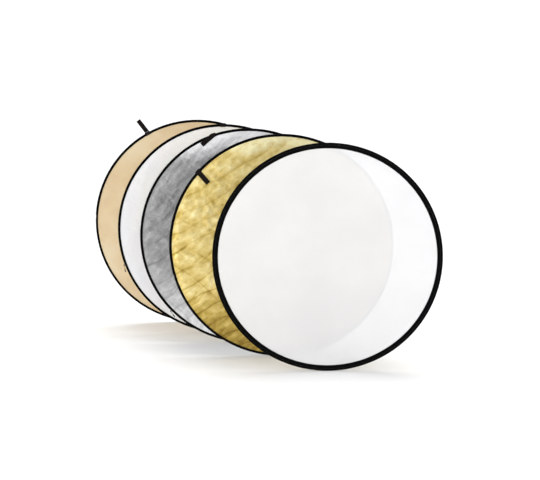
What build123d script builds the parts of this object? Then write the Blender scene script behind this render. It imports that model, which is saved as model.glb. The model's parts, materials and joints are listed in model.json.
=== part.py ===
from build123d import *
import os
from math import atan2, cos, degrees, hypot, radians, sin

os.makedirs("parts", exist_ok=True)

# A set of round collapsible reflector discs, standing on edge one behind another.
# Millimetres and degrees. +Z is up and the faces look along -Y. Angles round a disc
# are seen from the front: 0 is at +X, 90 at the top, and they grow anticlockwise.
# "depth" is a distance from a disc's outer radius, positive towards its centre.

# Discs
COVER_RADIUS = 550
DIFFUSER_RADIUS = 543.5
PACK_PITCH = 26          # from one disc's mid-plane to the next in the closed pack
CUT_PAST = 1             # how far a cutting shape goes past what it cuts

# Steel hoops
BAND_THICK = 0.9
BAND_WIDTH = 5.5
BAND_DEPTH = 7.4         # to the middle of the band
SLEEVE_LENGTH = 42
SLEEVE_WALL = 0.5
SLEEVE_GAP = 0.1
COVER_SLEEVE = -14       # degrees from the tab
DIFFUSER_SLEEVE = 270    # the sleeve's place round the diffuser
POCKET_HEIGHT = 2.4      # the space in the binding round the hoop, across the band
POCKET_WIDTH = 6.7       # and along the disc's axis

# Cloth
PANEL_THICK = 0.5
PANEL_SPACING = 2.7      # between the middles of a cover's two panels
DIFFUSER_THICK = 0.6
CLOTH_DEPTH = 9.0        # where the cloth ends, inside the binding
CLOTH_GAP = 0.2

# Rim bindings
COVER_BEAD = 4.5         # half the thickness round the hoop
DIFFUSER_BEAD = 4.2
FLANK_DEPTH = 9.2        # to the end of the flat flank
COVER_BINDING = 13.5     # radial width
DIFFUSER_BINDING = 27
COVER_LIP = 2.4          # half the thickness at the inner edge
DIFFUSER_LIP = 1.3

# Zips, set into the crown of a cover's binding
ZIP_SWEEP = 190
CHANNEL_FLOOR = 5.4      # depth
CHANNEL_HALF = 3.4
TAPE_SEAT = 2.9          # depth of the shoulders that the tapes lie on
TAPE_THICK = 0.8
TAPE_HALF = 4.2
BEAD_INNER = 0.7         # from the middle plane to the row of teeth
BEAD_OUTER = 2.0
BEAD_TOP = 0.9           # depth
BEAD_BOTTOM = 3.3
TAPE_OVERRUN = 0.9       # degrees past the slider's rest place at each end
STOP_SPAN = 0.4          # degrees
CHANNEL_SLACK = 0.15     # degrees past each stop

# Zip sliders: two plates joined by a post, with a pin across the top
SLIDER_LENGTH = 14
TOP_PLATE = (0.5, -0.9)  # depth of its lower and upper faces
LOW_PLATE = (5.0, 3.6)
TOP_HALF = 3.9
LOW_HALF = 3.0
POST_HALF = 0.4
POST_LENGTH = 3
PIN_HEIGHT = 3.8         # above the rim
PIN_RADIUS = 0.7
LUG_INNER = 2.6
LUG_OUTER = 3.6
LUG_HALF_LENGTH = 2.0
LUG_CREST = 1.3          # above the pin

# Pullers
BARREL_INNER = 1.0
BARREL_OUTER = 1.7
BARREL_HALF = 2.3
LINK_THICK = 1.2
LINK_SHOULDER = 3.4      # where the link widens, clear of the lugs
LINK_HALF = 3.5
LINK_LENGTH = 24
LINK_SLOT = (9, 3)
LINK_LIFT = 8            # degrees that a resting puller stands off the rim
GRIP_LENGTH = 18
GRIP_START = 20
GRIP_HALF = 4.5
GRIP_THICK = 5.5
GRIP_CORNER = 1.8
GRIP_GAP = 0.1

# Webbing tabs: a root sewn round the rim, with a small loop outside it, and a free strap
ROOT_SPAN = 2.9          # degrees
ROOT_GAP = 0.2
ROOT_WALL = 1.4
ROOT_LOOP = 3.5          # the loop's slack outside the rim
ROOT_DEPTH = 16
ROOT_HEM = 1             # the hem at the root's ends, and how much thinner it gets
ROOT_HEM_TAPER = 0.5
STRAP_LENGTH = 75
STRAP_WIDTH = 24
STRAP_THICK = 2.6
STRAP_GAP = 0.3
STRAP_SEAT = 4           # depth of a folded strap's fold line
STRAP_CORNER = 3

# Each cover: place of its centre from the diffuser's, zip slider's place, way that the
# zip runs (1 anticlockwise, -1 clockwise), tab's place, strap's heading, and side of
# the disc that the strap lies on (-1 front, 1 back, 0 standing out from the rim).
COVERS = {
    "gold": dict(x=-215, y=340, slider=26, way=-1, tab=138, strap=312, side=-1),
    "silver": dict(x=-380, y=665, slider=224, way=1, tab=109, strap=221, side=-1),
    "white": dict(x=-515, y=935, slider=200, way=1, tab=90, strap=265, side=1),
    "peach": dict(x=-660, y=1230, slider=7, way=-1, tab=119, strap=127, side=0),
}

# A cover's zip runs through its lowest point, so it stands on the zip's teeth. The
# peach cover's zip also passes its leftmost point. The origin is under the middle of
# the whole row.
COVER_HEIGHT = COVER_RADIUS - BEAD_TOP
LAST = COVERS["peach"]
FRONT_X = -(LAST["x"] - COVER_HEIGHT + DIFFUSER_RADIUS) / 2
FRONT_Y = -(LAST["y"] + COVER_BEAD - DIFFUSER_BEAD) / 2

DISC_AXIS = Axis((0, 0, 0), (0, -1, 0))


def save(node, shape, centre):
    """Move a disc's piece from the disc's own centre to its place, and write it."""
    shape = Pos(*centre) * shape
    shape.label = node
    export_step(shape, f"parts/{node}.step")


def patch(radius, depths, halves):
    """A rectangle of the rim's section: from one depth to another and one y to another."""
    outer, inner = radius - depths[0], radius - depths[1]
    width, height = abs(outer - inner), abs(halves[1] - halves[0])
    return Pos((outer + inner) / 2, sum(halves) / 2) * Rectangle(width, height)


def teardrop(radius, bead, flank, width, lip):
    """A rim's outline: a round crown, flat flanks, then a taper to the inner edge."""
    crown = ThreePointArc((radius - bead, -bead), (radius, 0), (radius - bead, bead))
    rest = Polyline(
        (radius - bead, bead),
        (radius - flank, bead),
        (radius - width, lip),
        (radius - width, -lip),
        (radius - flank, -bead),
        (radius - bead, -bead),
    )
    return make_face(crown + rest)


def ring(section):
    return revolve(section, DISC_AXIS, 360)


def arc(section, start, sweep):
    """A section carried round the disc from an angle, anticlockwise or clockwise."""
    low = min(start, start + sweep)
    return turn(revolve(section, DISC_AXIS, abs(sweep)), low)


def turn(shape, angle):
    return Rot(0, -angle, 0) * shape


def span(length, radius):
    """The angle that a length takes up round a circle."""
    return degrees(length / radius)


def hoop(radius):
    depths = (BAND_DEPTH - BAND_THICK / 2, BAND_DEPTH + BAND_THICK / 2)
    return ring(patch(radius, depths, (-BAND_WIDTH / 2, BAND_WIDTH / 2)))


def hoop_sleeve(radius, angle):
    """The short tube that joins the two ends of the band."""
    half = BAND_WIDTH / 2 + SLEEVE_GAP
    reach = BAND_THICK / 2 + SLEEVE_GAP
    inside = patch(radius, (BAND_DEPTH - reach, BAND_DEPTH + reach), (-half, half))
    half += SLEEVE_WALL
    reach += SLEEVE_WALL
    outside = patch(radius, (BAND_DEPTH - reach, BAND_DEPTH + reach), (-half, half))
    sweep = span(SLEEVE_LENGTH, radius)
    return arc(outside - inside, angle - sweep / 2, sweep)


def hollow(radius, slot_half, width):
    """The room inside a binding: a pocket round the hoop and a slot for the cloth."""
    pocket_half = POCKET_HEIGHT / 2
    pocket_depths = (BAND_DEPTH - pocket_half, BAND_DEPTH + pocket_half)
    pocket = patch(radius, pocket_depths, (-POCKET_WIDTH / 2, POCKET_WIDTH / 2))
    slot = patch(radius, (BAND_DEPTH, width + CUT_PAST), (-slot_half, slot_half))
    return pocket + slot


def cloth(radius, middle, thick):
    """A round of cloth in a plane across the disc's axis."""
    disc = Cylinder(radius - CLOTH_DEPTH, thick, rotation=(90, 0, 0))
    return Pos(0, middle, 0) * disc


def cover_binding(cover):
    """A cover's binding, with the zip's channel cut into its crown."""
    slot_half = (PANEL_SPACING + PANEL_THICK) / 2 + CLOTH_GAP
    outline = teardrop(COVER_RADIUS, COVER_BEAD, FLANK_DEPTH, COVER_BINDING, COVER_LIP)
    binding = ring(outline - hollow(COVER_RADIUS, slot_half, COVER_BINDING))
    crown = patch(COVER_RADIUS, (-CUT_PAST, TAPE_SEAT), (-COVER_BEAD, COVER_BEAD))
    channel = patch(COVER_RADIUS, (0, CHANNEL_FLOOR), (-CHANNEL_HALF, CHANNEL_HALF))
    margin = TAPE_OVERRUN + STOP_SPAN + CHANNEL_SLACK
    start = cover["slider"] - cover["way"] * margin
    sweep = cover["way"] * (ZIP_SWEEP + 2 * margin)
    return binding - arc(crown + channel, start, sweep)


def zip_tape(cover, side):
    """One side's tape with its row of teeth, from stop to stop."""
    tape_depths = (TAPE_SEAT - TAPE_THICK, TAPE_SEAT)
    tape = patch(COVER_RADIUS, tape_depths, (side * BEAD_INNER, side * TAPE_HALF))
    teeth_depths = (BEAD_TOP, BEAD_BOTTOM)
    teeth = patch(COVER_RADIUS, teeth_depths, (side * BEAD_INNER, side * BEAD_OUTER))
    start = cover["slider"] - cover["way"] * TAPE_OVERRUN
    sweep = cover["way"] * (ZIP_SWEEP + 2 * TAPE_OVERRUN)
    return arc(tape + teeth, start, sweep)


def zip_stops(cover):
    """The two end stops, clamped across both tapes."""
    depths = (BEAD_TOP, BEAD_BOTTOM)
    block = patch(COVER_RADIUS, depths, (-BEAD_OUTER, BEAD_OUTER))
    way = cover["way"]
    first = arc(block, cover["slider"] - way * TAPE_OVERRUN, -way * STOP_SPAN)
    end = cover["slider"] + way * (ZIP_SWEEP + TAPE_OVERRUN)
    last = arc(block, end, way * STOP_SPAN)
    return Compound(children=[first, last])


def plate(depths, half, length):
    section = patch(COVER_RADIUS, depths, (-half, half))
    return extrude(section, length / 2, both=True)


def across(radius, half):
    """A cylinder along the disc's axis, at the puller's pin."""
    cylinder = Cylinder(radius, 2 * half, rotation=(90, 0, 0))
    return Pos(COVER_RADIUS + PIN_HEIGHT, 0, 0) * cylinder


def zip_slider():
    """Two plates and their post round the teeth, two lugs and the puller's pin."""
    top = plate(TOP_PLATE, TOP_HALF, SLIDER_LENGTH)
    low = plate(LOW_PLATE, LOW_HALF, SLIDER_LENGTH)
    post = plate((LOW_PLATE[1], TOP_PLATE[0]), POST_HALF, POST_LENGTH)
    slider = top + low + Pos(0, 0, -(SLIDER_LENGTH - POST_LENGTH) / 2) * post
    lug_depths = (TOP_PLATE[1], -PIN_HEIGHT - PIN_RADIUS - LUG_CREST)
    for side in (-1, 1):
        section = patch(COVER_RADIUS, lug_depths, (side * LUG_INNER, side * LUG_OUTER))
        slider += extrude(section, LUG_HALF_LENGTH, both=True)
    return slider + across(PIN_RADIUS, LUG_OUTER)


def puller_link():
    """A flat metal link, rolled round the slider's pin."""
    sheet = Rectangle(2 * BARREL_HALF, LINK_SHOULDER, align=(Align.CENTER, Align.MIN))
    wide_length = LINK_LENGTH - LINK_SHOULDER
    wide = Rectangle(2 * LINK_HALF, wide_length, align=(Align.CENTER, Align.MIN))
    outline = sheet + Pos(0, LINK_SHOULDER) * wide
    slot_length, slot_width = LINK_SLOT
    outline -= Pos(0, (LINK_SHOULDER + GRIP_START) / 2) * SlotOverall(
        slot_length, slot_width, rotation=90
    )
    base = Plane((COVER_RADIUS + PIN_HEIGHT, 0, 0), x_dir=(0, 1, 0), z_dir=(1, 0, 0))
    flat = extrude(base * outline, LINK_THICK / 2, both=True)
    barrel = across(BARREL_OUTER, BARREL_HALF)
    return flat + barrel - across(BARREL_INNER, BARREL_HALF + CUT_PAST)


def puller_grip():
    """The moulded end of the puller, with the link's tip inside it."""
    size = (GRIP_THICK, 2 * GRIP_HALF, GRIP_LENGTH)
    body = Box(*size, align=(Align.CENTER, Align.CENTER, Align.MIN))
    body = fillet(body.edges().filter_by(Axis.X), GRIP_CORNER)
    body = Pos(COVER_RADIUS + PIN_HEIGHT, 0, GRIP_START) * body
    pocket_length = LINK_LENGTH - GRIP_START + GRIP_GAP
    pocket_size = (LINK_THICK + 2 * GRIP_GAP, 2 * (LINK_HALF + GRIP_GAP), pocket_length)
    pocket = Box(*pocket_size, align=(Align.CENTER, Align.CENTER, Align.MIN))
    return body - Pos(COVER_RADIUS + PIN_HEIGHT, 0, GRIP_START) * pocket


def lifted(puller):
    """A puller's piece, swung a little away from the rim about the slider's pin."""
    pin = Pos(COVER_RADIUS + PIN_HEIGHT, 0, 0)
    return pin * Rot(0, LINK_LIFT, 0) * pin.inverse() * puller


def at_slider(shape, cover):
    """Put a piece drawn at angle 0 at the slider's place, on the side that the zip runs."""
    if cover["way"] < 0:
        shape = mirror(shape, about=Plane.XY)
    return turn(shape, cover["slider"])


def tab_root(cover):
    """Webbing sewn round the rim, clear of the binding, with a little slack outside it."""
    inner_bead = COVER_BEAD + ROOT_GAP
    outer_bead = inner_bead + ROOT_WALL
    inner_radius = COVER_RADIUS + ROOT_GAP + ROOT_LOOP
    outer_radius = inner_radius + ROOT_WALL
    depth = ROOT_DEPTH + ROOT_LOOP
    hem = outer_bead - ROOT_HEM_TAPER
    outside = teardrop(outer_radius, outer_bead, depth - ROOT_HEM, depth, hem)
    inside = teardrop(inner_radius, inner_bead, depth, depth + CUT_PAST, inner_bead)
    return arc(outside - inside, cover["tab"] - ROOT_SPAN / 2, ROOT_SPAN)


def strap_pivot(cover):
    """A strap's fold line: a point on it from the disc's centre, and its angle."""
    if cover["side"] == 0:
        reach = COVER_RADIUS + ROOT_GAP + ROOT_LOOP + ROOT_WALL + STRAP_GAP + STRAP_THICK / 2
        middle = 0
        fold = cover["tab"] - 90
    else:
        reach = COVER_RADIUS - STRAP_SEAT
        middle = COVER_BEAD + ROOT_GAP + ROOT_WALL + STRAP_GAP + STRAP_THICK / 2
        fold = (cover["tab"] + cover["strap"]) / 2
    angle = radians(cover["tab"])
    return (reach * cos(angle), cover["side"] * middle, reach * sin(angle)), fold


def tab_strap(cover):
    """The free strap, with a rounded edge along its fold line."""
    pivot, fold = strap_pivot(cover)
    heading = radians(cover["strap"])
    along = Vector(cos(heading), sin(heading))
    beside = Vector(-sin(heading), cos(heading))
    line = Vector(cos(radians(fold)), sin(radians(fold)))
    reach = STRAP_WIDTH / 2 / (line.dot(beside))
    tip = along * STRAP_LENGTH
    inset = along * (STRAP_LENGTH - STRAP_CORNER)
    half = beside * (STRAP_WIDTH / 2)
    cut = beside * (STRAP_WIDTH / 2 - STRAP_CORNER)
    outline = Polyline(
        line * reach, inset + half, tip + cut, tip - cut, inset - half, line * -reach, close=True
    )
    facing = Plane((0, 0, 0), x_dir=(1, 0, 0), z_dir=(0, -1, 0))
    strap = extrude(facing * make_face(outline), STRAP_THICK / 2, both=True)
    edge = Cylinder(STRAP_THICK / 2, 2 * abs(reach), rotation=(0, 90, 0))
    strap += Rot(0, -fold, 0) * edge
    return Pos(*pivot) * strap


def diffuser_disc():
    centre = (FRONT_X, FRONT_Y, DIFFUSER_RADIUS)
    outline = teardrop(
        DIFFUSER_RADIUS, DIFFUSER_BEAD, FLANK_DEPTH, DIFFUSER_BINDING, DIFFUSER_LIP
    )
    slot_half = DIFFUSER_THICK / 2 + CLOTH_GAP
    binding = ring(outline - hollow(DIFFUSER_RADIUS, slot_half, DIFFUSER_BINDING))
    save("diffuser_fabric", cloth(DIFFUSER_RADIUS, 0, DIFFUSER_THICK), centre)
    save("diffuser_hoop", hoop(DIFFUSER_RADIUS), centre)
    save("diffuser_hoop_sleeve", hoop_sleeve(DIFFUSER_RADIUS, DIFFUSER_SLEEVE), centre)
    save("diffuser_rim_binding", binding, centre)


def cover_disc(name, cover):
    centre = (FRONT_X + cover["x"], FRONT_Y + cover["y"], COVER_HEIGHT)
    middle = PANEL_SPACING / 2
    save(f"{name}_front_panel", cloth(COVER_RADIUS, -middle, PANEL_THICK), centre)
    save(f"{name}_back_panel", cloth(COVER_RADIUS, middle, PANEL_THICK), centre)
    save(f"{name}_hoop", hoop(COVER_RADIUS), centre)
    save(f"{name}_hoop_sleeve", hoop_sleeve(COVER_RADIUS, cover["tab"] + COVER_SLEEVE), centre)
    save(f"{name}_rim_binding", cover_binding(cover), centre)
    save(f"{name}_zip_front_tape", zip_tape(cover, -1), centre)
    save(f"{name}_zip_back_tape", zip_tape(cover, 1), centre)
    save(f"{name}_zip_stops", zip_stops(cover), centre)
    save(f"{name}_zip_slider", at_slider(zip_slider(), cover), centre)
    save(f"{name}_puller_link", at_slider(lifted(puller_link()), cover), centre)
    save(f"{name}_puller_grip", at_slider(lifted(puller_grip()), cover), centre)
    save(f"{name}_tab_root", tab_root(cover), centre)
    save(f"{name}_tab_strap", tab_strap(cover), centre)


def report_joints():
    """Print where each joint is, for the record."""
    parent = dict(x=0, y=0)
    for name, cover in COVERS.items():
        across_x, along_y = parent["x"] - cover["x"], parent["y"] - cover["y"] + PACK_PITCH
        travel = hypot(across_x, along_y)
        centre = (FRONT_X + cover["x"], FRONT_Y + cover["y"], COVER_HEIGHT)
        heading = degrees(atan2(along_y, across_x))
        print(name, "centre", centre, "slides", round(travel, 3), "towards", round(heading, 3))
        pin = COVER_RADIUS + PIN_HEIGHT
        angle = radians(cover["slider"])
        pivot, fold = strap_pivot(cover)
        place = (pin * cos(angle) + centre[0], centre[1], pin * sin(angle) + centre[2])
        print("  puller pin", place)
        print("  strap fold", tuple(a + b for a, b in zip(pivot, centre)), "line at", fold)
        parent = cover


diffuser_disc()
for name, cover in COVERS.items():
    cover_disc(name, cover)
report_joints()
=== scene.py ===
"""Round reflector discs in a row: a diffuser, and gold, silver, white and peach covers."""
import json
import math
from types import SimpleNamespace

import bmesh
import bpy
import numpy as np
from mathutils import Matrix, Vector


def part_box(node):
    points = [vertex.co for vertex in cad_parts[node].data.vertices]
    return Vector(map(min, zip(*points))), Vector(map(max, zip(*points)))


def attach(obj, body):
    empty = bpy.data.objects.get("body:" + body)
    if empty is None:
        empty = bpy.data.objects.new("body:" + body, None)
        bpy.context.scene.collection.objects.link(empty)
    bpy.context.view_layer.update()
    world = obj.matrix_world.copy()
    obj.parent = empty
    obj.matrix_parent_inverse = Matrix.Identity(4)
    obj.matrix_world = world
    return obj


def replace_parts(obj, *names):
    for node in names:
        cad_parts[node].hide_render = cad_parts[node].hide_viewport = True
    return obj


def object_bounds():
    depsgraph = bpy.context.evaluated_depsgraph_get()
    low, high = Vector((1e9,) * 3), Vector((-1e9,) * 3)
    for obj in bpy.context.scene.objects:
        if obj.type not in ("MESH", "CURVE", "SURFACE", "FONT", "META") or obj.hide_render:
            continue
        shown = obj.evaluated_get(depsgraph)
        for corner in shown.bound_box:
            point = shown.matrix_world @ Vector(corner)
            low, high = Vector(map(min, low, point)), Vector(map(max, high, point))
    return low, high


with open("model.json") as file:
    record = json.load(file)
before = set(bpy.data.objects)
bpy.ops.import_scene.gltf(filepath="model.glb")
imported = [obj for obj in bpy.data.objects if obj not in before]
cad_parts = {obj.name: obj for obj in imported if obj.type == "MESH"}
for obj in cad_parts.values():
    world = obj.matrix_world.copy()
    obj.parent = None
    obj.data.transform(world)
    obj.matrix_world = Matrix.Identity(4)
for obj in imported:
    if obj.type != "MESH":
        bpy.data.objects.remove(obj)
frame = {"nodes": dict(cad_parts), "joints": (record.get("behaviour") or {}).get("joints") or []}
cad_low, cad_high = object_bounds()
JOINTS = {joint["name"]: joint for joint in frame["joints"]}
COVERS = ("gold", "silver", "white", "peach")

# Sizes are in metres. "Depth" is a distance in from a rim's outermost point, and y is
# counted from a disc's middle plane, negative in front.
BAND_TO_CROWN = 0.00695
DISC_HEIGHT = 1.1

# ---------------------------------------------------------------- discs


def read_disc(name, bead, width, lip, slot, zipped):
    """Where a disc is, from its steel band, and the section of its rim.

    The width is how far the rim reaches in from its crown. The bead, the lip and the slot
    are half the thickness of the crown, of the inner edge and of the slit in that edge.
    """
    low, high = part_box(f"{name}_hoop")
    return SimpleNamespace(
        name=name,
        body=f"{name}_disc",
        centre=np.array((low + high) / 2),
        radius=(high.x - low.x) / 2 + BAND_TO_CROWN,
        bead=bead,
        width=width,
        lip=lip,
        slot=slot,
        zipped=zipped,
    )


def angle_of(disc, joint):
    """The angle round a disc of a joint's place, anticlockwise from +X as seen from the front."""
    x, _, z = np.array(JOINTS[joint]["pos_m"]) - disc.centre
    return math.atan2(z, x)


def face_of(side):
    """The word for a disc's side: -1 is its front and 1 its back."""
    return "front" if side < 0 else "back"


def around(disc, depth, angle, y):
    """Points on a disc: so far in from its rim, at an angle, at a y from its middle plane."""
    depth, angle, y = np.broadcast_arrays(depth, angle, y)
    radius = disc.radius - depth
    offsets = np.stack([radius * np.cos(angle), y, radius * np.sin(angle)], -1)
    return disc.centre + offsets


# ---------------------------------------------------------------- noise


NOISE_CELLS = 64


def gradient_noise(x, y, seed):
    """Smooth noise from about -0.7 to 0.7, with one swell to a unit."""
    turns = np.random.default_rng(seed).uniform(0, 2 * np.pi, (NOISE_CELLS, NOISE_CELLS))
    cell_x, cell_y = np.floor(x).astype(int), np.floor(y).astype(int)
    part_x, part_y = x - cell_x, y - cell_y

    def corner(step_x, step_y):
        turn = turns[(cell_x + step_x) % NOISE_CELLS, (cell_y + step_y) % NOISE_CELLS]
        return np.cos(turn) * (part_x - step_x) + np.sin(turn) * (part_y - step_y)

    fade_x = part_x**3 * (part_x * (part_x * 6 - 15) + 10)
    fade_y = part_y**3 * (part_y * (part_y * 6 - 15) + 10)
    lower = corner(0, 0) * (1 - fade_x) + corner(1, 0) * fade_x
    upper = corner(0, 1) * (1 - fade_x) + corner(1, 1) * fade_x
    return lower * (1 - fade_y) + upper * fade_y


def folds(x, y, heading, spacing, seed):
    """Sharp creases from -1 to 1 that run along a heading, wander, and fade in and out."""
    along = x * math.cos(heading) + y * math.sin(heading)
    across = y * math.cos(heading) - x * math.sin(heading)
    wander = gradient_noise(along / spacing / 3, across / spacing / 3, seed)
    fine = gradient_noise(along / spacing, across / spacing, seed + 1)
    phase = across / spacing + 1.3 * wander + 0.35 * fine
    wave = 1 - 2 * np.abs(2 * (phase % 1) - 1)
    strength = gradient_noise(along / spacing / 2.5, across / spacing / 1.5, seed + 2)
    return wave * np.clip(0.35 + 1.6 * strength, 0, 1)


# ---------------------------------------------------------------- meshes


def grid_faces(rows, columns, wrap_rows=False, wrap_columns=False):
    """Quads that join a grid of points, numbered row by row."""
    row, column = np.meshgrid(
        np.arange(rows if wrap_rows else rows - 1),
        np.arange(columns if wrap_columns else columns - 1),
        indexing="ij",
    )
    next_row, next_column = (row + 1) % rows, (column + 1) % columns
    corners = (
        row * columns + column,
        next_row * columns + column,
        next_row * columns + next_column,
        row * columns + next_column,
    )
    return np.stack(corners, -1).reshape(-1, 4)


def make_piece(name, points, faces, body, material, closed=True):
    """A mesh object that rides on a CAD body."""
    mesh = bpy.data.meshes.new(name)
    mesh.from_pydata(np.asarray(points).reshape(-1, 3).tolist(), [], faces)
    if closed:
        edit = bmesh.new()
        edit.from_mesh(mesh)
        bmesh.ops.recalc_face_normals(edit, faces=edit.faces)
        edit.to_mesh(mesh)
        edit.free()
    mesh.shade_smooth()
    mesh.materials.append(material)
    piece = bpy.data.objects.new(name, mesh)
    bpy.context.scene.collection.objects.link(piece)
    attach(piece, body)
    return piece


def loft(rings):
    """Faces of a tube through closed rings of points, with its two ends filled."""
    count, size = rings.shape[:2]
    faces = grid_faces(count, size, wrap_columns=True).tolist()
    faces.append(list(range(size)))
    faces.append(list(range((count - 1) * size, count * size)))
    return faces


def scatter(template, template_faces, origins, frames):
    """Copies of a small template, one in each frame of three axes."""
    points = origins[:, None] + np.einsum("kc,ncd->nkd", template, frames)
    starts = np.arange(len(origins)) * len(template)
    faces = (np.asarray(template_faces)[None] + starts[:, None, None]).reshape(-1, 4)
    return points.reshape(-1, 3), faces.tolist()


def four_sided(rings):
    """A template of four-point rings, closed at both ends."""
    rings = np.asarray(rings, float)
    faces = grid_faces(len(rings), 4, wrap_columns=True).tolist()
    last = 4 * (len(rings) - 1)
    faces += [[0, 1, 2, 3], [last + 3, last + 2, last + 1, last]]
    return rings.reshape(-1, 3), faces


# ---------------------------------------------------------------- materials


def new_material(name):
    """A material, with its shader and the place on the object that its patterns follow."""
    material = bpy.data.materials.new(name)
    material.use_nodes = True
    tree = material.node_tree
    shader = tree.nodes["Principled BSDF"]
    place = tree.nodes.new("ShaderNodeTexCoord").outputs["Object"]
    return SimpleNamespace(material=material, tree=tree, shader=shader, place=place)


def link(kit, source, target):
    kit.tree.links.new(source, target)


def along(kit, heading, stretched=1.0):
    """Coordinates whose X runs along a heading in the disc's plane, with features long that way."""
    node = kit.tree.nodes.new("ShaderNodeMapping")
    node.vector_type = "TEXTURE"
    node.inputs["Scale"].default_value = (stretched, 1, 1)
    node.inputs["Rotation"].default_value = (0, -math.radians(heading), 0)
    link(kit, kit.place, node.inputs["Vector"])
    return node.outputs["Vector"]


def painted_height_light(kit, stops):
    """Painted light and shade by height above the floor: (height in metres, value) pairs."""
    split = kit.tree.nodes.new("ShaderNodeSeparateXYZ")
    link(kit, kit.place, split.inputs[0])
    share = arithmetic(kit, "DIVIDE", split.outputs["Z"], DISC_HEIGHT)
    return tones(kit, share, [(height / DISC_HEIGHT, (value,) * 3) for height, value in stops])


def noise(kit, scale, detail=3.0, vector=None, distortion=0.0):
    node = kit.tree.nodes.new("ShaderNodeTexNoise")
    node.inputs["Scale"].default_value = scale
    node.inputs["Detail"].default_value = detail
    node.inputs["Distortion"].default_value = distortion
    link(kit, vector or kit.place, node.inputs["Vector"])
    return node.outputs["Fac"]


def facets(kit, scale, vector=None):
    """Flat patches that meet in sharp ridges, as in creased foil."""
    node = kit.tree.nodes.new("ShaderNodeTexVoronoi")
    node.inputs["Scale"].default_value = scale
    node.inputs["Detail"].default_value = 1.0
    link(kit, vector or kit.place, node.inputs["Vector"])
    return node.outputs["Distance"]


def bands(kit, direction, pitch, vector=None, profile="SIN", wander=0.0):
    """Waves across X, Y or Z, one to each pitch in metres."""
    node = kit.tree.nodes.new("ShaderNodeTexWave")
    node.bands_direction = direction
    node.wave_profile = profile
    node.inputs["Scale"].default_value = math.pi / 10 / pitch
    node.inputs["Distortion"].default_value = wander
    node.inputs["Detail"].default_value = 2.0
    link(kit, vector or kit.place, node.inputs["Vector"])
    return node.outputs["Fac"]


def arithmetic(kit, operation, first, second):
    """One sum on two values, each a number or another node's output."""
    node = kit.tree.nodes.new("ShaderNodeMath")
    node.operation = operation
    for socket, value in zip(node.inputs, (first, second)):
        if isinstance(value, (int, float)):
            socket.default_value = value
        else:
            link(kit, value, socket)
    return node.outputs[0]


def stretch(kit, value, low, high):
    """Noise, which lies mostly between 0.3 and 0.7, carried to another range."""
    node = kit.tree.nodes.new("ShaderNodeMapRange")
    node.inputs["From Min"].default_value = 0.3
    node.inputs["From Max"].default_value = 0.7
    node.inputs["To Min"].default_value = low
    node.inputs["To Max"].default_value = high
    link(kit, value, node.inputs["Value"])
    return node.outputs["Result"]


def tones(kit, value, stops):
    """Colours along a 0 to 1 value: (place, (red, green, blue)) from low to high."""
    node = kit.tree.nodes.new("ShaderNodeValToRGB")
    ramp = node.color_ramp
    while len(ramp.elements) < len(stops):
        ramp.elements.new(0.5)
    for element, (place, colour) in zip(ramp.elements, stops):
        element.position = place
        element.color = (*colour, 1)
    link(kit, value, node.inputs["Fac"])
    return node.outputs["Color"]


def bump(kit, layers):
    """Bumps on the shader, one (height, distance in metres, strength) on top of another."""
    normal = None
    for height, distance, strength in layers:
        node = kit.tree.nodes.new("ShaderNodeBump")
        node.inputs["Distance"].default_value = distance
        node.inputs["Strength"].default_value = strength
        link(kit, height, node.inputs["Height"])
        if normal is not None:
            link(kit, normal, node.inputs["Normal"])
        normal = node.outputs["Normal"]
    link(kit, normal, kit.shader.inputs["Normal"])


def weave(kit, pitch):
    """Crossing threads, as a height."""
    return arithmetic(kit, "MAXIMUM", bands(kit, "X", pitch), bands(kit, "Z", pitch))


def crease_lines(kit, heading, pitch, wander, spread):
    """Long folds along a heading: their shape, and 1 in a painted shade line at each one's bottom.
    """
    wave = bands(kit, "Z", pitch, along(kit, heading), "TRI", wander)
    line = arithmetic(kit, "DIVIDE", arithmetic(kit, "SUBTRACT", spread, wave), spread)
    broken = stretch(kit, noise(kit, 11, 2, along(kit, heading, 2)), 0, 1)
    return wave, arithmetic(kit, "MULTIPLY", arithmetic(kit, "MAXIMUM", line, 0), broken)


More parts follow.
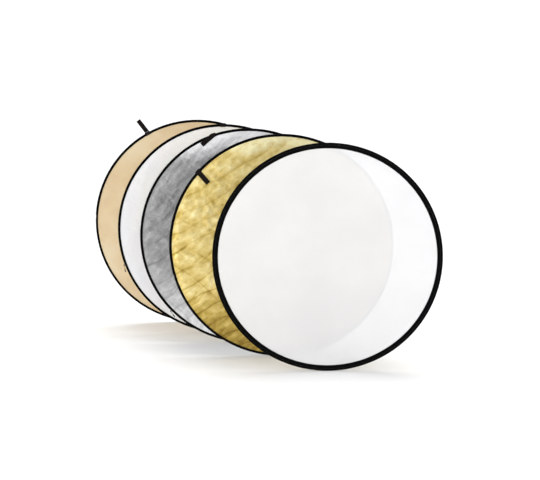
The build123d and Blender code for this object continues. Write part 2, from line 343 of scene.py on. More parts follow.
def foil_cloth(name, stops, painted_light_stops, headings, roughness, contrast):
    """Coated metallic cloth, creased all over, with its longer creases along two headings.

    Its tone is painted light and shade by height above the floor, a painted reflection of
    its room. Its folds are painted lighter on their ridges and darker in their valleys, and
    painted shade lines along the bottoms of its creases are strongest low down.
    """
    kit = new_material(name)
    main, cross = headings
    wave, line = crease_lines(kit, main, 0.08, 4.5, 0.15)
    cross_wave, cross_shade_line = crease_lines(kit, cross, 0.13, 6.0, 0.1)
    small_wave, small_shade_line = crease_lines(kit, main + 16, 0.034, 4.0, 0.2)
    crinkle = facets(kit, 34, along(kit, main, 1.4))
    fine = facets(kit, 95)
    patches = noise(kit, 9, 4, along(kit, main, 1.4), 0.5)
    grain = noise(kit, 70, 5, along(kit, main, 1.2))
    grain_share = 0.22
    # Painted reflection and shade: the tone follows the height above the floor.
    shade = arithmetic(kit, "ADD", painted_height_light(kit, painted_light_stops), -grain_share / 2)
    shade = arithmetic(kit, "ADD", shade, arithmetic(kit, "MULTIPLY", grain, grain_share))
    # Painted light and shade on the folds and crinkles: lighter on ridges, darker in valleys.
    for value, amount in (
        (patches, 0.45),
        (crinkle, 0.34),
        (wave, 0.18),
        (cross_wave, 0.14),
        (small_wave, 0.07),
    ):
        offset = arithmetic(kit, "SUBTRACT", value, 0.5)
        change = arithmetic(kit, "MULTIPLY", offset, amount * contrast)
        shade = arithmetic(kit, "ADD", shade, change)
    # Painted shade lines along the crease valleys, weighted to be strongest towards the bottom.
    slack = painted_height_light(kit, [(0.25, 1.0), (0.75, 0.35)])
    for value, amount in ((line, 0.6), (cross_shade_line, 0.32), (small_shade_line, 0.26)):
        wear_and_painted_shade = arithmetic(kit, "MULTIPLY", value, amount * contrast)
        shade = arithmetic(kit, "SUBTRACT", shade, arithmetic(kit, "MULTIPLY", wear_and_painted_shade, slack))
    link(kit, tones(kit, shade, stops), kit.shader.inputs["Base Color"])
    wear = stretch(kit, noise(kit, 60, 5), roughness - 0.05, roughness + 0.09)
    link(kit, wear, kit.shader.inputs["Roughness"])
    kit.shader.inputs["Metallic"].default_value = 0.85
    layers = [(wave, 0.003, 0.6), (cross_wave, 0.003, 0.5), (small_wave, 0.001, 0.7)]
    layers = [(height, distance, strength * contrast) for height, distance, strength in layers]
    layers += [(crinkle, 0.002, 0.5), (fine, 0.0008, 0.35), (weave(kit, 0.0007), 0.00006, 0.25)]
    bump(kit, layers)
    return kit.material


def gold_cloth():
    stops = [
        (0.0, (0.27, 0.17, 0.03)),
        (0.3, (0.48, 0.345, 0.08)),
        (0.5, (0.65, 0.495, 0.165)),
        (0.7, (0.78, 0.64, 0.28)),
        (1.0, (0.93, 0.86, 0.52)),
    ]
    # Painted shade and light by height: dark near the bottom, light near the top.
    painted_light_heights = [(0.08, 0.12), (0.3, 0.42), (0.45, 0.5), (0.8, 0.5), (0.99, 0.55), (1.06, 0.95)]
    return foil_cloth("gold_cloth", stops, painted_light_heights, (27, -33), 0.36, 0.85)


def silver_cloth():
    stops = [
        (0.0, (0.16, 0.16, 0.16)),
        (0.3, (0.29, 0.29, 0.29)),
        (0.5, (0.43, 0.43, 0.435)),
        (0.75, (0.69, 0.69, 0.70)),
        (1.0, (0.96, 0.96, 0.97)),
    ]
    # Painted reflection by height: light at the bottom and the top, darker between.
    painted_light_heights = [(0.05, 0.95), (0.25, 0.5), (0.45, 0.3), (0.74, 0.28), (0.93, 0.42), (1.03, 1.0)]
    return foil_cloth("silver_cloth", stops, painted_light_heights, (38, -42), 0.38, 0.45)


def white_cloth():
    kit = new_material("white_cloth")
    patches = noise(kit, 7, 4, along(kit, 60, 2), 0.4)
    stops = [(0.35, (0.80, 0.81, 0.87)), (0.65, (0.86, 0.87, 0.91)), (1.0, (0.95, 0.95, 0.97))]
    # Painted light: the cloth is made paler near its bottom and near its top.
    painted_top_and_bottom_light = painted_height_light(kit, [(0.1, 0.3), (0.3, 0), (0.85, 0), (1.08, 0.5)])
    shade = arithmetic(kit, "ADD", patches, painted_top_and_bottom_light)
    link(kit, tones(kit, shade, stops), kit.shader.inputs["Base Color"])
    link(kit, stretch(kit, noise(kit, 50, 4), 0.34, 0.5), kit.shader.inputs["Roughness"])
    kit.shader.inputs["Sheen Weight"].default_value = 0.15
    bump(kit, [(facets(kit, 40), 0.003, 0.2), (weave(kit, 0.0006), 0.00008, 0.3)])
    return kit.material


def peach_cloth():
    kit = new_material("peach_cloth")
    patches = noise(kit, 6, 4, None, 0.3)
    stops = [(0.35, (0.69, 0.54, 0.34)), (0.5, (0.73, 0.585, 0.37)), (0.65, (0.77, 0.65, 0.44))]
    link(kit, tones(kit, patches, stops), kit.shader.inputs["Base Color"])
    link(kit, stretch(kit, noise(kit, 60, 4), 0.6, 0.78), kit.shader.inputs["Roughness"])
    kit.shader.inputs["Sheen Weight"].default_value = 0.2
    bump(kit, [(noise(kit, 25, 3), 0.002, 0.15), (weave(kit, 0.0006), 0.00012, 0.4)])
    return kit.material


def diffuser_cloth():
    """Thin white nylon: most light scatters in it, and a little passes straight through."""
    kit = new_material("diffuser_cloth")
    patches = noise(kit, 5, 3)
    stops = [(0.35, (0.69, 0.69, 0.70)), (0.65, (0.72, 0.72, 0.73))]
    colour = tones(kit, patches, stops)
    link(kit, colour, kit.shader.inputs["Base Color"])
    kit.shader.inputs["Roughness"].default_value = 0.62
    kit.shader.inputs["Specular IOR Level"].default_value = 0.3
    bump(kit, [(noise(kit, 30, 3), 0.002, 0.12), (weave(kit, 0.0005), 0.00008, 0.35)])
    nodes = kit.tree.nodes
    glow = nodes.new("ShaderNodeBsdfTranslucent")
    link(kit, colour, glow.inputs["Color"])
    cloth = nodes.new("ShaderNodeMixShader")
    cloth.inputs["Fac"].default_value = 0.04
    link(kit, kit.shader.outputs["BSDF"], cloth.inputs[1])
    link(kit, glow.outputs["BSDF"], cloth.inputs[2])
    clear = nodes.new("ShaderNodeBsdfTransparent")
    seen = nodes.new("ShaderNodeMixShader")
    seen.inputs["Fac"].default_value = 0.085
    link(kit, cloth.outputs["Shader"], seen.inputs[1])
    link(kit, clear.outputs["BSDF"], seen.inputs[2])
    link(kit, seen.outputs["Shader"], nodes["Material Output"].inputs["Surface"])
    return kit.material


def black_textile(name, colour, pitch, roughness, rib, gloss):
    """Black woven tape: a fine weave, faded a little where it is rubbed."""
    kit = new_material(name)
    wear_and_painted_shade = noise(kit, 45, 5)
    dark = tuple(0.6 * part for part in colour)
    pale = tuple(1.9 * part for part in colour)
    stops = [(0.4, dark), (0.58, colour), (0.72, pale)]
    link(kit, tones(kit, wear_and_painted_shade, stops), kit.shader.inputs["Base Color"])
    link(kit, stretch(kit, wear_and_painted_shade, roughness - 0.1, roughness + 0.1), kit.shader.inputs["Roughness"])
    kit.shader.inputs["Sheen Weight"].default_value = 0.02
    kit.shader.inputs["Specular IOR Level"].default_value = gloss
    bump(kit, [(weave(kit, pitch), rib, 0.6), (noise(kit, 900, 2), 0.0001, 0.3)])
    return kit.material


def thread_black():
    kit = new_material("thread_black")
    twist = bands(kit, "X", 0.0004)
    stops = [(0.2, (0.02, 0.02, 0.021)), (0.8, (0.07, 0.07, 0.073))]
    link(kit, tones(kit, twist, stops), kit.shader.inputs["Base Color"])
    kit.shader.inputs["Roughness"].default_value = 0.45
    bump(kit, [(twist, 0.0001, 0.5)])
    return kit.material


def metal(name, dark, light, roughness, scratch):
    """Plated or blued metal with fine scratches and a little tarnish."""
    kit = new_material(name)
    stain = noise(kit, 140, 6)
    link(kit, tones(kit, stain, [(0.35, dark), (0.65, light)]), kit.shader.inputs["Base Color"])
    lines = noise(kit, 900, 2, along(kit, 30, 6))
    link(kit, stretch(kit, lines, roughness, roughness + 0.18), kit.shader.inputs["Roughness"])
    kit.shader.inputs["Metallic"].default_value = 1.0
    bump(kit, [(lines, 0.00005, scratch)])
    return kit.material


def black_lacquer():
    """Lacquered die-casting, rubbed to grey on its corners."""
    kit = new_material("black_lacquer")
    edges = kit.tree.nodes.new("ShaderNodeNewGeometry").outputs["Pointiness"]
    wear_and_painted_shade = arithmetic(kit, "ADD", edges, arithmetic(kit, "MULTIPLY", noise(kit, 700, 4), 0.12))
    stops = [(0.58, (0.006, 0.006, 0.0065)), (0.7, (0.07, 0.07, 0.07))]
    link(kit, tones(kit, wear_and_painted_shade, stops), kit.shader.inputs["Base Color"])
    link(kit, stretch(kit, noise(kit, 300, 4), 0.3, 0.48), kit.shader.inputs["Roughness"])
    kit.shader.inputs["Coat Weight"].default_value = 0.1
    bump(kit, [(noise(kit, 1500, 3), 0.00005, 0.3)])
    return kit.material


def moulded_black():
    kit = new_material("moulded_black")
    grain = noise(kit, 1400, 4)
    stops = [(0.35, (0.006, 0.006, 0.0065)), (0.7, (0.016, 0.016, 0.017))]
    link(kit, tones(kit, grain, stops), kit.shader.inputs["Base Color"])
    link(kit, stretch(kit, noise(kit, 90, 3), 0.5, 0.68), kit.shader.inputs["Roughness"])
    bump(kit, [(grain, 0.00008, 0.5)])
    return kit.material


def floor_white():
    kit = new_material("floor_white")
    stops = [(0.3, (0.79, 0.79, 0.79)), (0.7, (0.81, 0.81, 0.81))]
    link(kit, tones(kit, noise(kit, 3, 3), stops), kit.shader.inputs["Base Color"])
    kit.shader.inputs["Roughness"].default_value = 0.9
    kit.shader.inputs["Specular IOR Level"].default_value = 0.1
    return kit.material


CLOTHS = {
    "gold": gold_cloth(),
    "silver": silver_cloth(),
    "white": white_cloth(),
    "peach": peach_cloth(),
}
DIFFUSER_CLOTH = diffuser_cloth()
BINDING = black_textile("binding_black", (0.002, 0.002, 0.0022), 0.0009, 0.68, 0.00015, 0.02)
ZIP_TAPE = black_textile("zip_tape_black", (0.006, 0.006, 0.0065), 0.0006, 0.62, 0.0001, 0.1)
WEBBING = black_textile("webbing_black", (0.008, 0.004, 0.004), 0.0012, 0.55, 0.0003, 0.08)
THREAD = thread_black()
TEETH = moulded_black()
SPRING_STEEL = metal("spring_steel", (0.20, 0.22, 0.27), (0.42, 0.44, 0.48), 0.25, 0.3)
BLACK_NICKEL = metal("black_nickel", (0.035, 0.035, 0.035), (0.07, 0.07, 0.07), 0.22, 0.25)
LACQUER = black_lacquer()

# ---------------------------------------------------------------- panels

EDGE_CALM = 0.03          # creases die away over this distance from the binding
FRONT_GRID = 300
BACK_GRID = 200
CREASES = {
    # cloth: (heading in degrees, spacing, height) of each set of creases
    "gold": [(27, 0.06, 0.0018), (12, 0.026, 0.0005), (80, 0.08, 0.0014), (-38, 0.05, 0.0012)],
    "silver": [(58, 0.07, 0.0009), (25, 0.024, 0.0005), (-35, 0.05, 0.0008), (90, 0.09, 0.0005)],
    "white": [(70, 0.07, 0.0011), (-30, 0.05, 0.0007)],
    "peach": [(55, 0.12, 0.0006), (-40, 0.1, 0.0005)],
    "diffuser": [(35, 0.15, 0.0004), (-50, 0.13, 0.0004)],
}
PUCKER = 0.00035          # height of the ripples that the binding's seam draws in
PUCKER_PITCH = 0.017
PUCKER_REACH = 0.07


def crease_height(x, z, radius, cloth, seed):
    """How far a stretched cloth stands out from its plane, at points from the disc's centre."""
    height = np.zeros_like(x)
    for number, (heading, spacing, depth) in enumerate(CREASES[cloth]):
        wave = folds(x, z, math.radians(heading), spacing, seed + 10 * number)
        height += depth * (0.5 + 0.5 * wave)
    inward = radius - np.hypot(x, z)
    angle = np.arctan2(z, x)
    ripple = np.sin(angle * round(2 * np.pi * radius / PUCKER_PITCH))
    ripple *= 0.5 + gradient_noise(angle * 9 + 40, inward * 0, seed + 5)
    height += PUCKER * ripple * np.exp(-inward / PUCKER_REACH)
    calm = np.clip(inward / EDGE_CALM, 0, 1)
    return height * calm * calm * (3 - 2 * calm)


def panel(disc, name, cloth, node, material, y, grid, seed):
    """A stretched round of cloth, creased, with its edge inside the binding."""
    low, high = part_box(node)
    radius = (high.x - low.x) / 2
    line = np.linspace(-1, 1, grid)
    u, v = np.meshgrid(line, line, indexing="ij")
    x = radius * u * np.sqrt(1 - v * v / 2)
    z = radius * v * np.sqrt(1 - u * u / 2)
    visible = disc.radius - disc.width
    height = crease_height(x, z, visible, cloth, seed)
    height[np.hypot(x, z) >= visible] = 0
    outward = 1 if y > 0 else -1
    points = disc.centre + np.stack([x, y + outward * height, z], -1)
    faces = grid_faces(grid, grid).tolist()
    piece = make_piece(name, points, faces, disc.body, material, closed=False)
    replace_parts(piece, node)
    return piece, radius


# ---------------------------------------------------------------- rim bindings

DIFFUSER_ROWS = (0.0252, 0.0112)  # depths of the rows of stitches
COVER_ROWS = (0.0117,)
RING_STEPS = 1380
CROWN_STEPS = 9
FLANK_STEPS = 14
FLANK_DEPTH = 0.0092      # the flank is at its full thickness from here to FLANK_END
FLANK_END = 0.007
HEM = 0.0012              # turned in past the rim's inner edge
STITCH_DENT = 0.00025
STITCH_DENT_WIDTH = 0.0008
PUCKER_EDGE = 0.0003
WANDER = 0.0004           # of the rim's inner edge
GROOVE_HALF = 0.0034
GROOVE_FLOOR = 0.0054
SHOULDER_DEPTH = 0.0029
SHOULDER_HALF = 0.0042
GROOVE_BLEND = math.radians(0.9)
ZIP_SWEEP = math.radians(190)
ZIP_MARGIN = math.radians(1.45)


def flank_profile(disc, rows):
    """One flank of a rim from its hidden edge to the crown, as (depth, y) with y positive."""
    inner, bead, lip, slot = disc.width, disc.bead, disc.lip, disc.slot
    flank = [(inner - HEM, slot), (inner - 0.0001, slot + 0.0001), (inner, slot + 0.0004)]
    flank += [(inner - 0.0001, lip - 0.0002), (inner - 0.0005, lip + 0.00002)]
    for share in np.linspace(0.08, 1, FLANK_STEPS):
        depth = inner + (FLANK_DEPTH - inner) * share
        y = lip + (bead - lip) * math.sin(share * math.pi / 2) ** 0.9
        for row in rows:
            y -= STITCH_DENT * math.exp(-(((depth - row) / STITCH_DENT_WIDTH) ** 2))
        flank.append((depth, y))
    flank.append((FLANK_END, bead))
    return flank


def rim_profiles(disc, rows):
    """A rim's closed section, plain and with the zip's groove, point for point."""
    flank = flank_profile(disc, rows)
    turn = np.linspace(math.pi / 2, -math.pi / 2, 2 * CROWN_STEPS + 1)
    crown = [(disc.bead - disc.bead * math.cos(a), disc.bead * math.sin(a)) for a in turn]
    back = [(depth, -y) for depth, y in reversed(flank)]
    plain = np.array(flank + crown + back)
    edge = 0.0002
    half = [
        (0.0040, SHOULDER_HALF + 0.0002),
        (SHOULDER_DEPTH + edge, SHOULDER_HALF),
        (SHOULDER_DEPTH, SHOULDER_HALF - edge),
        (SHOULDER_DEPTH, GROOVE_HALF + edge),
        (SHOULDER_DEPTH + edge, GROOVE_HALF),
        (0.0042, GROOVE_HALF),
        (GROOVE_FLOOR - edge, GROOVE_HALF),
        (GROOVE_FLOOR, GROOVE_HALF - edge),
        (GROOVE_FLOOR, 0.0017),
    ]
    groove = half + [(GROOVE_FLOOR, 0)] + [(depth, -y) for depth, y in reversed(half)]
    return plain, np.array(flank + groove + back)


def in_zip(disc, angle):
    """How far an angle is inside the zip's stretch: 1 inside, 0 outside, smooth between."""
    run = (disc.way * (angle - disc.slider) + ZIP_MARGIN) % (2 * np.pi)
    whole = ZIP_SWEEP + 2 * ZIP_MARGIN
    rise = np.clip(run / GROOVE_BLEND, 0, 1)
    fall = np.clip((whole - run) / GROOVE_BLEND, 0, 1)
    share = np.minimum(rise, fall)
    return share * share * (3 - 2 * share)


def rim_binding(disc, rows, seed):
    """Black tape folded round the hoop and the cloth's edge, puckered a little by its seam."""
    plain, grooved = rim_profiles(disc, rows)
    angle = np.linspace(0, 2 * np.pi, RING_STEPS, endpoint=False)
    share = in_zip(disc, angle)[:, None] if disc.zipped else np.zeros((RING_STEPS, 1))
    depth = plain[:, 0] * (1 - share) + grooved[:, 0] * share
    y = plain[:, 1] * (1 - share) + grooved[:, 1] * share
    length = (angle * disc.radius)[:, None]
    inner = np.clip((depth - FLANK_DEPTH) / (disc.width - FLANK_DEPTH), 0, 1)
    side = np.sign(y)
    ripple = gradient_noise(length / 0.0075, side * 7 + 20, seed)
    y = y + side * PUCKER_EDGE * ripple * inner * (1 - inner) * 4
    drift = gradient_noise(length / 0.09, side * 5 + 9, seed + 1)
    depth = depth + WANDER * drift * inner
    points = around(disc, depth, angle[:, None], y)
    faces = grid_faces(*depth.shape, wrap_rows=True, wrap_columns=True).tolist()
    name = f"{disc.name}_rim_cloth"
    piece = make_piece(name, points, faces, disc.body, BINDING)
    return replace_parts(piece, f"{disc.name}_rim_binding")


# ---------------------------------------------------------------- stitches

STITCH_PITCH = 0.0036
STITCH_LENGTH = 0.0030
THREAD_RADIUS = 0.00024


def stitch_template(length):
    """One stitch along its first axis, bowed a little along its second."""
    rings = []
    for share, size in ((-1, 0.35), (-0.7, 0.95), (0, 1), (0.7, 0.95), (1, 0.35)):
        lift = THREAD_RADIUS * (0.5 - 0.9 * share * share)
        reach = THREAD_RADIUS * size
        corners = ((0, reach), (reach, 0), (0, -reach), (-reach, 0))
        rings.append([(share * length / 2, lift + a, b) for a, b in corners])
    return four_sided(rings)


def stitched_line(start, end, out, pitch):
    """Places and axes for a straight run of stitches on a face that looks along out."""
    start, end, out = (np.asarray(v, float) for v in (start, end, out))
    span = np.linalg.norm(end - start)
    along = (end - start) / span
    count = max(2, round(span / pitch))
    places = start + along * ((np.arange(count) + 0.5) * span / count)[:, None]
    axes = np.stack([along, out, np.cross(along, out)])
    return places, np.repeat(axes[None], count, 0)


def rim_stitches(disc, rows, side):
    """Rows of stitches all the way round one face of a rim."""
    flank = np.array(flank_profile(disc, rows))[5:]
    order = np.argsort(flank[:, 0])
    places, axes = [], []
    for row in rows:
        y = np.interp(row, flank[order, 0], flank[order, 1])
        count = round(2 * np.pi * (disc.radius - row) / STITCH_PITCH)
        angle = np.arange(count) * 2 * np.pi / count
        places.append(around(disc, row, angle, side * (y + THREAD_RADIUS * 0.2)))
        zero = np.zeros(count)
        along = np.stack([-np.sin(angle), zero, np.cos(angle)], -1)
        out = np.tile([0.0, side, 0.0], (count, 1))
        axes.append(np.stack([along, out, np.cross(along, out)], 1))
    points, faces = scatter(
        *stitch_template(STITCH_LENGTH), np.concatenate(places), np.concatenate(axes)
    )
    name = f"{disc.name}_{face_of(side)}_stitches"
    return make_piece(name, points, faces, disc.body, THREAD)


# ---------------------------------------------------------------- zips

TAPE_STEPS = 760
TAPE_TOP = 0.0021
TOOTH_PITCH = 0.003
TOOTH_TOP = 0.0009        # depth
TOOTH_BOTTOM = 0.0033
TOOTH_ROOT = 0.0021       # from the middle plane, on the tooth's own side
TOOTH_REACH = 0.00045     # past the middle plane, between two teeth of the other row
TOOTH_WIDTH = 0.0011      # along the zip
TOOTH_HEAD = 0.0014
TOOTH_ROUND = 0.00028
PARKING = math.radians(0.9)  # left clear for the slider at the far end
TAPE_OVERRUN = math.radians(0.9)


def zip_tape(disc, side):
    """One side's tape, from the binding's shoulder to the teeth, with a cord edge at them."""
    section = [
        (SHOULDER_DEPTH, SHOULDER_HALF),
        (SHOULDER_DEPTH - 0.0004, SHOULDER_HALF + 0.00015),
        (TAPE_TOP + 0.0001, SHOULDER_HALF - 0.0001),
        (TAPE_TOP, SHOULDER_HALF - 0.0006),
        (TAPE_TOP + 0.0001, 0.0029),
        (TAPE_TOP - 0.0003, 0.0023),
        (TAPE_TOP - 0.0003, 0.0018),
        (TAPE_TOP, 0.0014),
        (SHOULDER_DEPTH, 0.0014),
        (SHOULDER_DEPTH + 0.0002, 0.0021),
        (SHOULDER_DEPTH - 0.0001, 0.0028),
    ]
    depth, y = np.array(section).T
    run = np.linspace(-TAPE_OVERRUN, ZIP_SWEEP + TAPE_OVERRUN, TAPE_STEPS)
    angle = (disc.slider + disc.way * run)[:, None]
    points = around(disc, depth, angle, side * y)
    name = f"{disc.name}_zip_{face_of(side)}_cloth"
    piece = make_piece(name, points, loft(points), disc.body, ZIP_TAPE)
    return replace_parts(piece, f"{disc.name}_zip_{face_of(side)}_tape")


def tooth_template():
    """One tooth: along the zip, outwards from the disc's centre, and out from the middle plane."""
    rings = []
    middle = (TOOTH_TOP + TOOTH_BOTTOM) / 2
    half = (TOOTH_BOTTOM - TOOTH_TOP) / 2
    for level, inset in ((-1, TOOTH_ROUND), (-0.7, 0), (0.7, 0), (1, TOOTH_ROUND)):
        head, root = TOOTH_HEAD / 2 - inset, TOOTH_WIDTH / 2 - inset
        near, far = -TOOTH_REACH + inset, TOOTH_ROOT - inset
        height = -middle + level * half
        rings.append(
            [(-head, height, near), (head, height, near), (root, height, far), (-root, height, far)]
        )
    return four_sided(rings)


def zip_teeth(disc, side):
    """A row of moulded teeth that meshes with the other row, and leaves the slider room to park."""
    sweep = ZIP_SWEEP - PARKING
    count = round(sweep * disc.radius / TOOTH_PITCH)
    step = sweep / count
    shift = 0.25 if side < 0 else 0.75
    angle = disc.slider + disc.way * (np.arange(count) + shift) * step
    out = np.stack([np.cos(angle), 0 * angle, np.sin(angle)], -1)
    along = np.stack([-np.sin(angle), 0 * angle, np.cos(angle)], -1)
    across = np.tile([0.0, side, 0.0], (count, 1))
    origins = disc.centre + out * disc.radius
    frames = np.stack([along, out, across], 1)
    points, faces = scatter(*tooth_template(), origins, frames)
    name = f"{disc.name}_zip_{face_of(side)}_teeth"
    return make_piece(name, points, faces, disc.body, TEETH)


def round_edges(piece, size, material):
    """Soften a CAD piece's edges, and give it its finish."""
    bevel = piece.modifiers.new("soft_edges", "BEVEL")
    bevel.width = size
    bevel.segments = 3
    bevel.limit_method = "ANGLE"
    piece.data.materials.clear()
    piece.data.materials.append(material)


GRIP_LENGTH = 0.018
GRIP_HALF_WIDTH = 0.0045
GRIP_HALF_THICK = 0.00275
GRIP_RIBS = 5
GRIP_RINGS = 46


def puller_grip(disc):
    """The moulded end of a puller: waisted, with ribs across it for the fingers."""
    pin = np.array(JOINTS[f"{disc.name}_puller_swing"]["pos_m"])
    low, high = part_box(f"{disc.name}_puller_grip")
    middle = np.array((low + high) / 2)
    along = middle - pin
    along[1] = 0
    along /= np.linalg.norm(along)
    across = np.array([0.0, 1.0, 0.0])
    out = np.cross(along, across)
    turn = np.linspace(0, 2 * np.pi, 24, endpoint=False)
    squared_x = np.sign(np.cos(turn)) * np.abs(np.cos(turn)) ** 0.5
    squared_y = np.sign(np.sin(turn)) * np.abs(np.sin(turn)) ** 0.5
    rings = []
    for share in np.linspace(0, 1, GRIP_RINGS):
        from_middle = abs(2 * share - 1)
        end = max(1 - from_middle**10, 0.02) ** 0.5
        width = GRIP_HALF_WIDTH * (0.80 + 0.2 * from_middle**1.5) * end
        ribbed = np.clip((share - 0.2) / 0.6, 0, 1)
        rib = 0.5 - 0.5 * math.cos(2 * math.pi * GRIP_RIBS * ribbed)
        thick = GRIP_HALF_THICK * (0.78 + 0.22 * rib) * end
        centre = middle + along * (share - 0.5) * GRIP_LENGTH
        ring = centre + np.outer(squared_x * width, across) + np.outer(squared_y * thick, out)
        rings.append(ring)
    rings = np.array(rings)
    name = f"{disc.name}_puller_moulding"
    piece = make_piece(name, rings, loft(rings), f"{disc.name}_puller", TEETH)
    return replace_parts(piece, f"{disc.name}_puller_grip")


# ---------------------------------------------------------------- webbing tabs

WEB_RIB = 0.0021          # from one rib of the webbing to the next
WEB_RELIEF = 0.00038
ROOT_GAP = 0.0002
ROOT_WALL = 0.0014
ROOT_LOOP = 0.0035        # slack outside the rim
ROOT_END = 0.0144
ROOT_SPAN = math.radians(2.9)
STRAP_LENGTH = 0.075
STRAP_WIDTH = 0.024
STRAP_THICK = 0.0026
STRAP_STEPS = 190
STRAP_HEM = 0.012         # the doubled end
BOX_REACH = 0.0112        # the root's stitched box: half its length, and its two depths
BOX_LOW = 0.0050
BOX_HIGH = 0.0132
BOX_PITCH = 0.0028
BOX_STITCH = 0.0023


def root_path(bead, rise):
    """Points round a rim from one flank over its crown to the other, as (depth, y)."""
    flank = np.linspace(ROOT_END, bead - rise, 40)
    turn = np.linspace(math.pi / 2, -math.pi / 2, 41)[1:-1]
    back = np.stack([flank, np.full(40, bead)], -1)
    crown = np.stack([bead - rise - bead * np.cos(turn), bead * np.sin(turn)], -1)
    return np.concatenate([back, crown, back[::-1] * [1, -1]])


def tab_root(disc):
    """Webbing sewn round the rim with a little slack outside it, ribbed across its width."""
    inside = root_path(disc.bead + ROOT_GAP, ROOT_GAP + ROOT_LOOP)
    outside = root_path(disc.bead + ROOT_GAP + ROOT_WALL, ROOT_GAP + ROOT_LOOP + ROOT_WALL)
    walked = np.cumsum(np.r_[0, np.hypot(*np.diff(outside, axis=0).T)])
    rib = (0.5 - 0.5 * np.cos(2 * np.pi * walked / WEB_RIB))[:, None]
    centre_line = (inside + outside) / 2
    rings = []
    for share in np.linspace(-0.5, 0.5, 15):
        half = (outside - inside) / 2 * (1 - 0.4 * abs(2 * share) ** 8)
        face = centre_line + half * (1 - 2 * rib * WEB_RELIEF / ROOT_WALL)
        section = np.concatenate([face, (centre_line - half)[::-1]])
        angle = disc.tab + share * ROOT_SPAN
        rings.append(around(disc, section[:, 0], angle, section[:, 1]))
    rings = np.array(rings)
    name = f"{disc.name}_tab_root_web"
    piece = make_piece(name, rings, loft(rings), disc.body, WEBBING)
    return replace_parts(piece, f"{disc.name}_tab_root")


def strap_axes(disc):
    """A strap's pivot, its fold line, its heading, and the way from its face out of the disc."""
    joint = JOINTS[f"{disc.name}_strap_fold"]
    pivot = np.array(joint["pos_m"])
    fold = np.array(joint["axis"])
    strap = frame["nodes"][f"{disc.name}_tab_strap"].data
    points = np.array([vertex.co for vertex in strap.vertices]) - pivot
    points[:, 1] = 0
    reach = np.linalg.norm(points, axis=1)
    heading = points[reach > reach.max() - 0.0005].mean(0)
    heading /= np.linalg.norm(heading)
    offset = pivot[1] - disc.centre[1]
    side = np.sign(offset) if abs(offset) > 0.001 else -1.0
    return pivot, fold, heading, np.array([0.0, side, 0.0])


def tab_strap(disc):
    """The free end of the webbing: ribbed, round at its edges, bent a little by use."""
    pivot, fold, heading, out = strap_axes(disc)
    beside = np.cross(out, heading)
    slant = fold @ heading / (fold @ beside)
    half, thick = STRAP_WIDTH / 2, STRAP_THICK / 2
    edge = half - thick
    turn = np.linspace(-math.pi / 2, math.pi / 2, 7)
    flat = np.linspace(1, -1, 9)[1:-1] * edge
    right = [(edge + thick * math.cos(a), thick * math.sin(a)) for a in turn]
    left = [(-edge - thick * math.cos(a), thick * math.sin(a)) for a in turn[::-1]]
    section = right + [(v, thick) for v in flat] + left + [(v, -thick) for v in flat[::-1]]
    v, w = np.array(section).T
    share = np.linspace(0, 1, STRAP_STEPS)[:, None]
    start = slant * v - thick
    along = start + share * (STRAP_LENGTH - start)
    rib = 0.5 - 0.5 * np.cos(2 * np.pi * along / WEB_RIB)
    inner = np.clip((half - np.abs(v)) / 0.003, 0, 1)
    hem = np.clip((along - STRAP_LENGTH + STRAP_HEM) / 0.001, 0, 1)
    body = w * (1 - WEB_RELIEF / thick * rib * inner) * (0.82 + 0.18 * hem)
    tip = np.clip((1 - share) / 0.012, 0, 1) ** 0.5
    root = np.clip(share / 0.012, 0, 1) ** 0.5
    body = body * tip * root
    bow = disc.bow * (along / STRAP_LENGTH) ** 2 + 0.0006 * np.sin(along * 130)
    narrow = 1 - 0.05 * (1 - tip)
    points = (
        pivot
        + along[..., None] * heading
        + (v * narrow)[..., None] * beside
        + (body + bow)[..., None] * out
    )
    name = f"{disc.name}_tab_web"
    piece = make_piece(name, points, loft(points), f"{disc.name}_strap", WEBBING)
    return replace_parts(piece, f"{disc.name}_tab_strap")


def tab_stitches(disc):
    """A box and a cross of thread that hold the root to the rim, on both faces."""
    corners = [(-1, BOX_LOW), (1, BOX_LOW), (1, BOX_HIGH), (-1, BOX_HIGH)]
    lines = [(0, 1), (1, 2), (2, 3), (3, 0), (0, 2), (1, 3)]
    places, axes = [], []
    for side in (-1, 1):
        y = side * (disc.bead + ROOT_GAP + ROOT_WALL + THREAD_RADIUS * 0.2)
        spots = [
            around(disc, depth, disc.tab + end * BOX_REACH / disc.radius, y)
            for end, depth in corners
        ]
        for first, second in lines:
            run, turns = stitched_line(spots[first], spots[second], (0, side, 0), BOX_PITCH)
            places.append(run)
            axes.append(turns)
    template = stitch_template(BOX_STITCH)
    points, faces = scatter(*template, np.concatenate(places), np.concatenate(axes))
    return make_piece(f"{disc.name}_tab_stitches", points, faces, disc.body, THREAD)


# ---------------------------------------------------------------- building

BACK_OF = {"gold": "silver", "silver": "gold", "white": "peach", "peach": "white"}
BOWS = {"gold": 0.004, "silver": 0.003, "white": 0.004, "peach": 0.005}  # of the tabs' straps


def finish_hoop(name):
    for node in (f"{name}_hoop", f"{name}_hoop_sleeve"):
        round_edges(frame["nodes"][node], 0.0001, SPRING_STEEL)


def build_diffuser():
    """The front disc: one sheet in a wide binding with two rows of stitches."""
    disc = read_disc("diffuser", 0.0042, 0.027, 0.0013, 0.00035, zipped=False)
    rim = rim_binding(disc, DIFFUSER_ROWS, 500)
    for side in (-1, 1):
        rim_stitches(disc, DIFFUSER_ROWS, side)
    piece, radius = panel(
        disc, "diffuser_cloth", "diffuser", "diffuser_fabric", DIFFUSER_CLOTH, 0.0, BACK_GRID, 510
    )
    finish_hoop("diffuser")


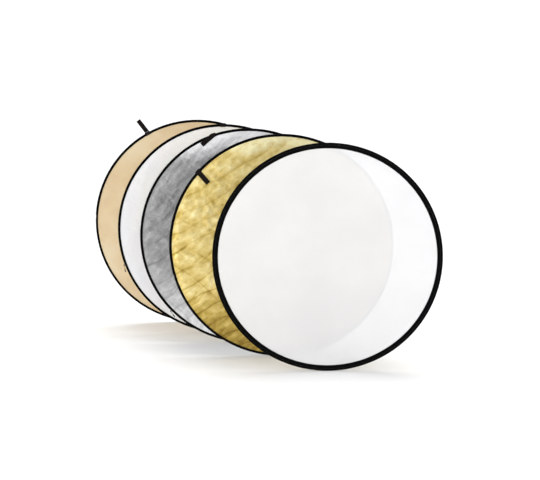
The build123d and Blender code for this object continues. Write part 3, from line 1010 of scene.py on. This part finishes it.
def build_cover(name, seed):
    """A two-sided disc with its zip, puller and tab."""
    disc = read_disc(name, 0.0045, 0.0135, 0.0024, 0.0016, zipped=True)
    disc.slider = angle_of(disc, f"{name}_puller_swing")
    disc.tab = angle_of(disc, f"{name}_strap_fold")
    disc.way = -round(JOINTS[f"{name}_zip_run"]["axis"][1])
    disc.bow = BOWS[name]
    rim = rim_binding(disc, COVER_ROWS, seed)
    for side, cloth, grid in ((-1, name, FRONT_GRID), (1, BACK_OF[name], BACK_GRID)):
        rim_stitches(disc, COVER_ROWS, side)
        zip_tape(disc, side)
        zip_teeth(disc, side)
        node = f"{name}_{face_of(side)}_panel"
        low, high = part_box(node)
        y = (low.y + high.y) / 2 - disc.centre[1]
        piece, radius = panel(
            disc, f"{name}_{face_of(side)}_cloth", cloth, node,
            CLOTHS[cloth], y, grid, seed + 100 * (side + 2),
        )
    tab_root(disc)
    tab_strap(disc)
    tab_stitches(disc)
    puller_grip(disc)
    nodes = frame["nodes"]
    round_edges(nodes[f"{name}_zip_slider"], 0.00035, LACQUER)
    round_edges(nodes[f"{name}_puller_link"], 0.0002, BLACK_NICKEL)
    round_edges(nodes[f"{name}_zip_stops"], 0.0003, BLACK_NICKEL)
    finish_hoop(name)


build_diffuser()
for index, cover_name in enumerate(COVERS):
    build_cover(cover_name, 1000 * (index + 1))

# ---------------------------------------------------------------- stage, light and camera


FLOOR_RADIUS = 260
LENS = 120                # millimetres
CAMERA_LEFT = 0.271       # from the diffuser's middle
CAMERA_BACK = 8.375
CAMERA_HEIGHT = 1.839
CAMERA_DIP = 8.23         # degrees below level


def make_floor():
    """A pale floor, wide enough to reach the horizon."""
    bpy.ops.mesh.primitive_circle_add(vertices=96, radius=FLOOR_RADIUS, fill_type="NGON")
    floor = bpy.context.object
    floor.name = "floor"
    floor.data.materials.append(floor_white())


def make_world(stops):
    """A pale room that is dimmer level with the discs and overhead: (sine of elevation, grey)."""
    world = bpy.data.worlds.new("studio")
    bpy.context.scene.world = world
    world.use_nodes = True
    kit = SimpleNamespace(tree=world.node_tree)
    split = kit.tree.nodes.new("ShaderNodeSeparateXYZ")
    place = kit.tree.nodes.new("ShaderNodeTexCoord")
    link(kit, place.outputs["Generated"], split.inputs[0])
    greys = tones(kit, split.outputs["Z"], [(level, (grey,) * 3) for level, grey in stops])
    link(kit, greys, kit.tree.nodes["Background"].inputs["Color"])


def make_sun(name, azimuth, elevation, strength, spread):
    """A soft sun. Azimuth 0 shines from the front, along +Y, and 90 from the right."""
    lamp = bpy.data.lights.new(name, "SUN")
    lamp.energy = strength
    lamp.angle = math.radians(spread)
    sun = bpy.data.objects.new(name, lamp)
    bpy.context.scene.collection.objects.link(sun)
    turn, rise = math.radians(azimuth), math.radians(elevation)
    towards = Vector(
        (math.sin(turn) * math.cos(rise), -math.cos(turn) * math.cos(rise), math.sin(rise))
    )
    sun.rotation_euler = towards.to_track_quat("Z", "Y").to_euler()


def make_softbox(name, place, target, size, power):
    """A rectangular lamp that faces a target."""
    lamp = bpy.data.lights.new(name, "AREA")
    lamp.shape = "RECTANGLE"
    lamp.size, lamp.size_y = size
    lamp.energy = power
    box = bpy.data.objects.new(name, lamp)
    bpy.context.scene.collection.objects.link(box)
    box.location = place
    away = Vector(place) - Vector(target)
    box.rotation_euler = away.to_track_quat("Z", "Y").to_euler()


def make_camera():
    """A 120 mm lens in front of the diffuser, a little to its left, looking slightly down."""
    low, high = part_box("diffuser_hoop")
    front = (low + high) / 2
    camera = bpy.data.objects.new("camera", bpy.data.cameras.new("camera"))
    bpy.context.scene.collection.objects.link(camera)
    camera.data.lens = LENS
    camera.data.sensor_width = 36
    camera.location = (front.x - CAMERA_LEFT, front.y - CAMERA_BACK, CAMERA_HEIGHT)
    camera.rotation_euler = (math.radians(90 - CAMERA_DIP), 0, 0)
    camera.data.clip_end = 1000
    bpy.context.scene.camera = camera


make_floor()
make_world([(0.0, 0.64), (0.12, 0.58), (0.3, 0.84), (0.7, 0.66), (1.0, 0.32)])
make_sun("top_light", 192, 76, 2.8, 60)
middle = (cad_low + cad_high) / 2
make_softbox("left_box", (-4.4, -4.8, 1.1), middle, (1.8, 1.9), 112)
make_softbox("right_box", (3.8, -5.6, 1.1), middle, (1.5, 1.9), 86)
make_camera()
bpy.context.scene.view_settings.view_transform = "Standard"
